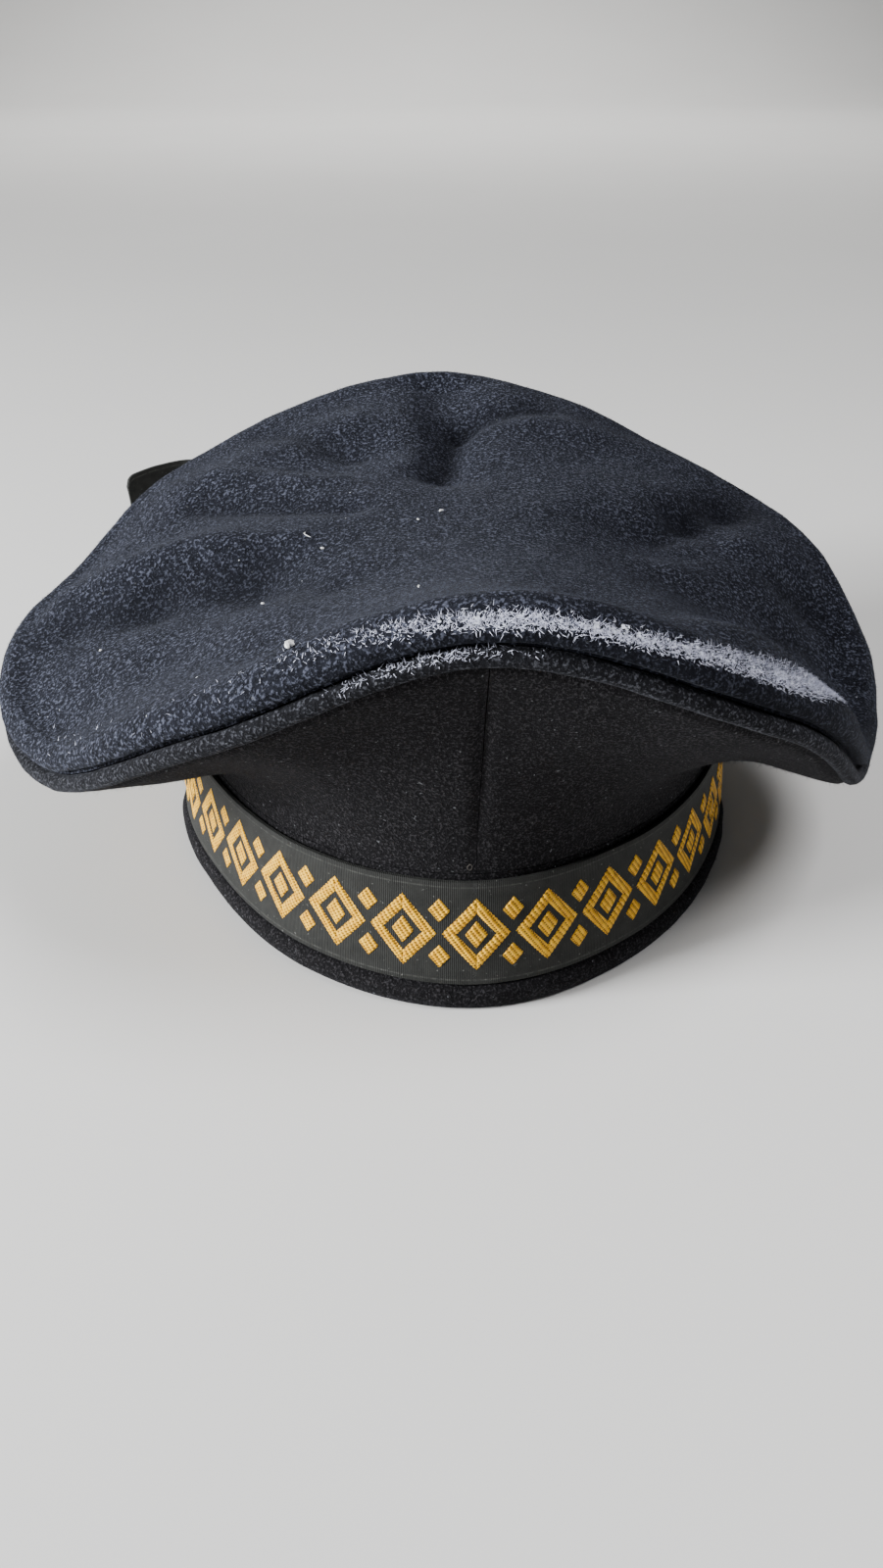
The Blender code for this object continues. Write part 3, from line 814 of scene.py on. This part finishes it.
def make_welt(material):
    angles = full_turn(EDGE_STEPS)
    closed = [WELT[-1], *WELT, WELT[0], WELT[1]]
    corners = [np.array([row.out, row.up]) for row in closed]
    section = smooth_path(corners, WELT_STEPS)[:-1]
    grid = []
    for out, up in section:
        height = WELT_HEIGHT * max(up, 0)
        grid.append(band_points(angles, height, BAND_CLOTH / 2 - WELT_WIDTH * out))
    grid = np.array(grid).transpose(1, 0, 2)
    middle = band_points(angles, WELT_HEIGHT / 2, BAND_CLOTH / 2)[:, None]
    normals = unit(grid - middle)
    soft = np.clip(grid[..., 2] / WELT_HEIGHT, 0, 0.6)
    grid = grid + normals * (unevenness(grid, WELT_WAVE) * soft)[..., None]
    welt = closed_sweep("welt_cloth", grid, material)
    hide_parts("lower_welt")
    return grid, normals


def ribbon_profile(share):
    """How far a ribbon's face stands out at a share of its width: woven edges are thicker."""
    from_edge = np.minimum(share, 1 - share) * RIBBON_WIDTH
    return sum(ridge.height * np.exp(-((from_edge - ridge.place) / ridge.spread)**2)
               for ridge in RIBBON_RIDGES)


def ribbon_reach(angles, share):
    """How far the ribbon's outer face stands off the band, with its slight waves."""
    rise = RIBBON_WAVE.height + unevenness(band_points(angles, RIBBON_FOOT), RIBBON_WAVE)
    growth = RIBBON_RISE_AT_FOOT + (1 - RIBBON_RISE_AT_FOOT) * share
    return GAP + RIBBON_THICKNESS + np.clip(rise, 0, RIBBON_RISE_LIMIT) * growth


def add_cloth_map(piece, places):
    """Give each point of a piece its place on the flat cloth, in metres."""
    layer = piece.data.uv_layers.new(name="cloth")
    loops = np.zeros(len(piece.data.loops), np.int64)
    piece.data.loops.foreach_get("vertex_index", loops)
    layer.uv.foreach_set("vector", places[loops].astype(np.float32).ravel())


def make_ribbon(material):
    angles = full_turn(RIBBON_STEPS)
    outer, inner, places = [], [], []
    run = np.radians(angles) * (BAND_WIDTH + BAND_LENGTH) / 4
    for share in RIBBON_SHARES:
        height = RIBBON_FOOT + RIBBON_WIDTH * share
        reach = ribbon_reach(angles, share)
        outer.append(band_points(angles, height, -reach - ribbon_profile(share)))
        inner.append(band_points(angles, height, RIBBON_THICKNESS - reach))
        places.append(np.stack([run, np.full(len(run), RIBBON_WIDTH * share)], axis=-1))
    ribbon = cloth_ring("ribbon_cloth", np.array(outer), np.array(inner), material)
    add_cloth_map(ribbon, np.concatenate([*places, *places]))
    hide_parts("cap_ribbon")


def knot_centre():
    """The knot sits against the ribbon at the back, half way up it."""
    middle = RIBBON_FOOT + RIBBON_WIDTH / 2
    seat = max(band_points(180, z, -RIBBON_THICKNESS - 2 * GAP)[1]
               for z in (middle - KNOT_HEIGHT / 2, middle + KNOT_HEIGHT / 2))
    return np.array([0.0, seat + KNOT_THICKNESS / 2, middle])


def make_knot(material):
    """The ribbon wound round its tied ends: a soft block with pleats that run up it."""
    turns = full_circle(KNOT_SIDES)
    x, y = (np.sign(wave) * abs(wave)**KNOT_SQUARENESS * size / 2 * KNOT_INSIDE
            for wave, size in ((np.cos(turns), KNOT_WIDTH), (np.sin(turns), KNOT_THICKNESS)))
    grid = []
    for t in np.linspace(-1, 1, KNOT_ROWS):
        rounding = (1 - abs(t)**6)**0.5
        waist = 1 - KNOT_WAIST * math.cos(t * math.pi / 2)
        pleats = 1 + KNOT_PLEAT_DEPTH * np.sin(KNOT_PLEATS * turns + 1.5 * t) * waist
        size = (0.72 + 0.28 * rounding) * waist * pleats
        z = np.full(KNOT_SIDES, t * KNOT_HEIGHT / 2)
        grid.append(np.stack([x * size, y * size, z], axis=-1))
    grid = np.array(grid) + knot_centre()
    faces = tube_faces(KNOT_ROWS, KNOT_SIDES, 0)
    knot = add_mesh("knot_cloth", grid.reshape(-1, 3), faces, material)
    run = np.tile(turns * KNOT_WIDTH / math.pi, KNOT_ROWS)
    add_cloth_map(knot, np.stack([grid[..., 2].ravel(), run], axis=-1))
    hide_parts("ribbon_knot")


def run_along(path):
    """How far along a path each of its points lies."""
    return np.concatenate([[0], np.cumsum(np.linalg.norm(np.diff(path, axis=0), axis=1))])


def make_tail(name, table, side, material):
    """A strip of ribbon on its edge, from the knot to its cut end."""
    start = knot_centre() + (side * (KNOT_WIDTH / 2 + GAP), 0, 0)
    corners = [start + TAIL_LENGTH * np.array([side * row.side, row.back, row.lift])
               for row in table]
    ends = (2 * corners[0] - corners[1], 2 * corners[-1] - corners[-2])
    path = np.array(smooth_path([ends[0], *corners, ends[1]], TAIL_STEPS))
    run = unit(np.gradient(path, axis=0))
    face = unit(np.cross(run, (0, 0, 1)))
    length = run_along(path)
    outer, inner, places = [], [], []
    into_corner = np.clip(TAIL_CORNER - (length[-1] - length), 0, TAIL_CORNER)
    cut = TAIL_CORNER - np.sqrt(TAIL_CORNER**2 - into_corner**2)
    for share in RIBBON_SHARES:
        middle = path + (0, 0, RIBBON_WIDTH * (share - 0.5))
        middle[:, 2] -= cut * np.clip(2 * share - 1, 0, 1)
        half = RIBBON_THICKNESS / 2 + ribbon_profile(share)
        cupped = TAIL_CUP * (2 * share - 1)**2 * (length / length[-1])[:, None]
        outer.append(middle + face * (half + cupped))
        inner.append(middle + face * (cupped - half))
        places.append(np.stack([length, np.full(len(length), RIBBON_WIDTH * share)], axis=-1))
    tail = cloth_patch("tail_cloth_" + name, np.array(outer), np.array(inner), material)
    add_cloth_map(tail, np.concatenate([*places, *places]))
    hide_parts("ribbon_tail_" + name)


def lozenge(width, height):
    return [(width / 2, 0), (0, height / 2), (-width / 2, 0), (0, -height / 2)]


def lozenge_frame(width, height, stroke):
    """Four strokes with mitred ends, as corners on the flat ribbon."""
    inner_share = 1 - 2 * stroke / (width * height / math.hypot(width, height))
    outer = lozenge(width, height)
    inner = [(x * inner_share, y * inner_share) for x, y in outer]
    return [(outer[i], outer[(i + 1) % 4], inner[(i + 1) % 4], inner[i]) for i in range(4)]


def border_shapes():
    """Corners of every gold stroke, from the ribbon's middle line at the front."""
    reach = math.radians(BORDER_REACH) * (BAND_WIDTH + BAND_LENGTH) / 4
    count = int(reach / BORDER_PITCH)
    shapes = []
    for i in range(-count, count + 1):
        here = i * BORDER_PITCH
        strokes = lozenge_frame(BORDER_FRAME_WIDTH, BORDER_HEIGHT, BORDER_STROKE)
        strokes.append(lozenge(*BORDER_CORE))
        shapes += [[(x + here, y) for x, y in stroke] for stroke in strokes]
        if i < count:
            for up in (-BORDER_BETWEEN_UP, BORDER_BETWEEN_UP):
                shapes.append([(x + here + BORDER_PITCH / 2, y + up)
                               for x, y in lozenge(*BORDER_BETWEEN)])
    return shapes


def make_gold_border(material):
    """Raised gold strokes that follow the ribbon's face round the front."""
    angles = np.linspace(-180, 180, BORDER_ANGLES)
    run = run_along(band_points(angles, RIBBON_FOOT + RIBBON_WIDTH / 2, -GAP - RIBBON_THICKNESS))
    run -= np.interp(0, angles, run)
    u, v = np.meshgrid(*(np.linspace(0, 1, steps + 1) for steps in BORDER_STEPS), indexing="ij")
    rim_share = np.minimum(np.minimum(v, 1 - v) * 2, np.minimum(u, 1 - u) * 8)
    crown = BORDER_LIFT * np.clip(rim_share, 0, 1)**0.5
    teeth = BORDER_TOOTH * (-1.0)**np.arange(1, BORDER_STEPS[0])[:, None]
    points, faces, places = [], [], []
    for corners in border_shapes():
        a, b, c, d = (np.array(corner) for corner in corners)
        base = sum(len(block) for block in points)
        flat = (a * ((1 - u) * (1 - v))[..., None] + b * (u * (1 - v))[..., None]
                + c * (u * v)[..., None] + d * ((1 - u) * v)[..., None])
        flat[1:-1, 0] += unit(a - d) * teeth
        flat[1:-1, -1] -= unit(a - d) * teeth
        share = 0.5 + flat[..., 1] / RIBBON_WIDTH
        turn = np.interp(flat[..., 0], run, angles)
        stands = ribbon_reach(turn, share)
        for lift in (crown + BORDER_RIM, np.full(u.shape, -BORDER_SUNK)):
            face = band_points(turn, RIBBON_FOOT + RIBBON_WIDTH * share)
            face += unit(around(1, 1, turn)) * (stands + lift)[..., None]
            points.append(face.reshape(-1, 3))
            places.append(flat.reshape(-1, 2))
        faces += patch_faces(*u.shape, base)
    gold = add_mesh("gold_border", np.concatenate(points), faces, material)
    add_cloth_map(gold, np.concatenate(places))


def wrapped(grid, *axes):
    """Repeat a grid's first line at its end, so that the last cells are there too."""
    for axis in axes:
        grid = np.concatenate([grid, np.take(grid, [0], axis=axis)], axis=axis)
    return grid


def roots_on(skins, count, rng):
    """Random places on cloth, spread by area and weight, and the way out of the cloth there."""
    shares = []
    for grid, _, weight in skins:
        step_a = np.diff(grid, axis=0)[:, :-1]
        step_b = np.diff(grid, axis=1)[:-1]
        area = np.linalg.norm(np.cross(step_a, step_b), axis=-1)
        shares.append(area * weight[:-1, :-1])
    whole = sum(share.sum() for share in shares)
    roots, ways = [], []
    for (grid, normals, _), share in zip(skins, shares):
        own = int(count * share.sum() / whole)
        cells = rng.choice(share.size, own, p=share.ravel() / share.sum())
        row, column = np.unravel_index(cells, share.shape)
        u, v = rng.random((2, own, 1))
        near = grid[row, column] * (1 - v) + grid[row, column + 1] * v
        far = grid[row + 1, column] * (1 - v) + grid[row + 1, column + 1] * v
        roots.append(near * (1 - u) + far * u)
        ways.append(normals[row, column])
    return np.concatenate(roots), np.concatenate(ways)


def add_nap(row, skins, material):
    """Short fibres that stand on cloth, each a closed spike with three sides."""
    rng = np.random.default_rng(SEED + len(row.name))
    roots, ways = roots_on(skins, row.count, rng)
    total = len(roots)
    sideways = rng.normal(size=(total, 3))
    sideways = unit(sideways - ways * (sideways * ways).sum(axis=1, keepdims=True))
    grow = unit(ways * rng.uniform(1 - row.lean, 1, (total, 1)) + sideways * row.lean * 1.4)
    tip = roots + grow * row.length * rng.uniform(0.45, 1.25, (total, 1))
    beside = unit(np.cross(grow, ways + 0.01))
    above = np.cross(beside, grow)
    base = roots - ways * row.length * 0.1
    half = row.width / 2
    corners = [base + beside * half, base - beside * half + above * half * 0.6,
               base - above * half, tip]
    points = np.stack(corners, axis=1)
    points = points[points[..., 2].min(axis=1) > NAP_ABOVE_FLOOR]
    first = np.arange(len(points))[:, None] * 4
    pattern = np.array([[0, 1, 3], [1, 2, 3], [2, 0, 3], [0, 2, 1]])
    faces = (first[:, None] + pattern[None]).reshape(-1, 3).tolist()
    mesh = new_mesh(row.name, (points.reshape(-1, 3) + SHIFT).tolist(), faces, material)
    piece = put_in_scene(row.name, mesh)
    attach(piece, "root")


def add_strands(name, strands, material):
    """Closed threads along paths, which get thinner at their ends, as one piece."""
    points, faces = [], []
    for path, thickness in strands:
        run = unit(np.gradient(path, axis=0))
        aside = unit(np.cross(run, (0.3, 0.2, 1.0)))
        radius = np.full(len(path), thickness / 2)
        radius[[0, -1]] *= 0.4
        grid = round_sections(path, radius, aside, np.cross(aside, run), STRAND_SIDES)
        faces += tube_faces(len(path), STRAND_SIDES, sum(len(block) for block in points))
        points.append(grid.reshape(-1, 3))
    add_mesh(name, np.concatenate(points), faces, material)


def make_lint(crown_grid):
    """Bits of lint on the crown, and a thread's looped end at the foot of the front seam."""
    rng = np.random.default_rng(SEED + 30)
    bits = []
    for row in LINT:
        place = np.array([row.x * CROWN_WIDTH, row.y * CROWN_LENGTH]) / 2
        away = np.linalg.norm(crown_grid[..., :2] - place, axis=-1)
        seat = crown_grid.reshape(-1, 3)[np.argmin(away)] + (0, 0, row.thickness / 2 + LINT_LIFT)
        turn = math.radians(row.turn)
        steps = np.linspace(-0.5, 0.5, LINT_POINTS)[:, None] * row.length
        bend = (np.cos(np.linspace(-1.4, 1.4, LINT_POINTS))[:, None] - 0.5) * row.length * 0.3
        ahead = np.array([math.cos(turn), math.sin(turn), 0.0])
        aside = np.array([-math.sin(turn), math.cos(turn), 0.25])
        path = seat + ahead * steps + aside * bend + rng.normal(0, 0.00005, (LINT_POINTS, 3))
        bits.append((path, row.thickness))
    add_strands("lint", bits, make_pale_fibre("lint", LINT_COLOUR))
    foot = panel_skin(np.array([THREAD_ANGLE]))[-2, 0]
    turns = np.linspace(-0.4, 2 * math.pi + 0.4, THREAD_POINTS)[:, None]
    loop = np.array([1.0, 0.0, 0.0]) * np.sin(turns) * THREAD_LOOP / 3
    loop = loop + UP * np.cos(turns) * THREAD_LOOP / 2
    loop[:, 1] -= 0.0006 + 0.0004 * np.linspace(0, 1, THREAD_POINTS)
    add_strands("seam_thread", [(foot + loop, THREAD_THICKNESS)],
                make_pale_fibre("seam_thread", THREAD_COLOUR))


def crown_painted_light(crown_grid):
    """How strong the painted highlight on the crown's nap is, and how strong its painted shade
    is, from 0 to 1.
    """
    steps = np.linalg.norm(np.diff(crown_grid, axis=0), axis=-1)
    run = np.concatenate([np.zeros((1, steps.shape[1])), np.cumsum(steps, axis=0)])
    place = (run - run[FIELD_ROWS - 1 + ROLL_STEPS]) / ROLL_SIZE
    angles = from_front(full_turn())
    known = [row.angle for row in CROWN_PAINTED_HIGHLIGHT]
    upper, lower, above, below = (
        np.interp(angles, known, [getattr(row, name) for row in CROWN_PAINTED_HIGHLIGHT])
        for name in ("upper", "lower", "above", "below"))
    inside = np.minimum(place - upper, lower - place)
    down = np.clip((place - upper) / (lower - upper), 0, 1)
    strength = above + (below - above) * down**2
    # Painted shade below the highlight, from just left of the front round to the right
    ends = PAINTED_SHADE_FROM, PAINTED_SHADE_FULL, PAINTED_SHADE_TO - PAINTED_SHADE_FADE, PAINTED_SHADE_TO
    below_light = (place - np.maximum(lower, PAINTED_SHADE_HIGHEST)) / PAINTED_SHADE_EDGE + PAINTED_SHADE_EASE
    flat_nap = np.interp(angles, ends, (0, 1, 1, 0)) * np.clip(below_light, 0, 1)
    # Painted shade in the creases where they sink
    depth = -fold_lift(crown_grid, [fold for fold in CREASES if fold.lift < 0]) / FOLD_HEIGHT
    painted_crease_shade = np.clip(PAINTED_SHADE_IN_CREASES * depth, 0, 1) * np.clip(-place, 0, 1)
    flat_nap = np.maximum(PAINTED_SHADE_ON_ROLL * flat_nap, painted_crease_shade)
    return strength * np.clip(0.5 + inside / (2 * PAINTED_HIGHLIGHT_EDGE), 0, 1), flat_nap


def piping_painted_highlight(piping_grid):
    """The same painted highlight for the piping, on its upper side left of the front."""
    stations, sides = piping_grid.shape[:2]
    share = from_front(full_turn(stations)) - PIPING_PAINTED_HIGHLIGHT_FROM
    share = np.clip(share / (PIPING_PAINTED_HIGHLIGHT_TO - PIPING_PAINTED_HIGHLIGHT_FROM), 0, 1)
    along = np.sin(share * math.pi)
    turns = full_circle(sides)
    aside = turns - math.radians(PIPING_PAINTED_HIGHLIGHT_TURN)
    across = np.clip(np.cos(PIPING_PAINTED_HIGHLIGHT_SPREAD * aside), 0, 1) * (turns < math.pi)
    return PIPING_PAINTED_HIGHLIGHT_STRENGTH * along[:, None] * across


# The stage

def make_stage():
    """A pale floor that curves up into a wall far behind the cap."""
    near, far, turn_radius, wall_top, half = -9.0, 4.0, 2.0, 5.0, 9.0
    turns = np.linspace(0, math.pi / 2, 25)
    profile = [(near, 0.0)]
    profile += [(far + turn_radius * math.sin(t), turn_radius * (1 - math.cos(t))) for t in turns]
    profile.append((far + turn_radius, wall_top))
    points = [(x, y, z) for y, z in profile for x in (-half, half)]
    faces = [(2 * i, 2 * i + 1, 2 * i + 3, 2 * i + 2) for i in range(len(profile) - 1)]
    mesh = new_mesh("floor", points, faces, make_floor_paint())
    mesh.shade_smooth()
    floor = put_in_scene("floor", mesh)


def make_light():
    for row in LIGHTS:
        lamp = bpy.data.lights.new(row.name, "AREA")
        lamp.shape = "SQUARE"
        lamp.size = row.size
        lamp.energy = row.power
        lamp.color = row.colour
        lamp.spread = math.radians(row.spread)
        holder = put_in_scene(row.name, lamp)
        holder.location = row.place
        away = np.array(row.target) - np.array(row.place)
        flat = math.hypot(away[0], away[1])
        heading = math.atan2(away[1], away[0]) - math.pi / 2
        holder.rotation_euler = (math.atan2(flat, -away[2]), 0, heading)
    world = bpy.data.worlds.new("studio")
    world.use_nodes = True
    background = world.node_tree.nodes["Background"]
    background.inputs["Color"].default_value = WORLD_COLOUR
    background.inputs["Strength"].default_value = WORLD_STRENGTH
    bpy.context.scene.world = world


def make_camera():
    lens = bpy.data.cameras.new("camera")
    lens.lens = CAMERA_LENS
    lens.sensor_width = SENSOR
    lens.clip_start = 0.01
    camera = put_in_scene("camera", lens)
    camera.location = CAMERA_PLACE
    camera.rotation_euler = (math.radians(90 - CAMERA_PITCH), 0, -math.radians(CAMERA_YAW))
    bpy.context.scene.camera = camera


def build():
    dark_wool = make_wool(DARK_WOOL)
    ribbon_cloth = make_ribbon_cloth()
    crown, crown_grid, crown_normals = make_crown(make_wool(CROWN_WOOL))
    # The painted highlight and the painted shade on the crown
    highlight_on_crown, flat_nap = crown_painted_light(crown_grid)
    store(crown, "frost", highlight_on_crown)
    store(crown, "flat_nap", flat_nap)
    piping, piping_grid, piping_normals = make_piping(make_wool(PIPING_WOOL))
    highlight_on_piping = piping_painted_highlight(piping_grid)
    store(piping, "frost", highlight_on_piping)
    panels = make_panels(dark_wool)
    make_band(dark_wool)
    welt = make_welt(dark_wool)
    make_ribbon(ribbon_cloth)
    make_knot(ribbon_cloth)
    make_tail("left", LEFT_TAIL, -1, ribbon_cloth)
    make_tail("right", RIGHT_TAIL, 1, ribbon_cloth)
    make_gold_border(make_gold_cloth())

    crown_round = [wrapped(part, 1) for part in (crown_grid, crown_normals)]
    piping_round = [wrapped(part, 0, 1) for part in (piping_grid, piping_normals)]
    welt_round = [wrapped(part, 0, 1) for part in welt]
    everywhere = [(grid, ways, np.ones(grid.shape[:2]))
                  for grid, ways in (piping_round, welt_round, *panels)]
    bare = np.ones(crown_round[0].shape[:2])
    bare[-TURN_IN_ROWS:] = 0
    # Pale crown fibres are thinned where shade is painted, to darken it further; the lit skins
    # place the near-white fibres of the painted highlight
    unshaded_nap = bare * (1 - PAINTED_SHADE_STRENGTH * wrapped(flat_nap, 1))
    skins = {"crown": [(*crown_round, unshaded_nap)], "sides": everywhere,
             "panels": everywhere[-len(panels):],
             "lit": [(*crown_round, wrapped(highlight_on_crown, 1)**2 * bare),
                     (*piping_round, wrapped(highlight_on_piping, 0, 1)**2)]}
    fibres = {name: make_pale_fibre(name, colour) for name, colour in FIBRES.items()}
    for row in NAPS:
        add_nap(row, skins[row.skins], fibres[row.fibre])
    make_lint(crown_grid)


build()
make_stage()
make_light()
make_camera()
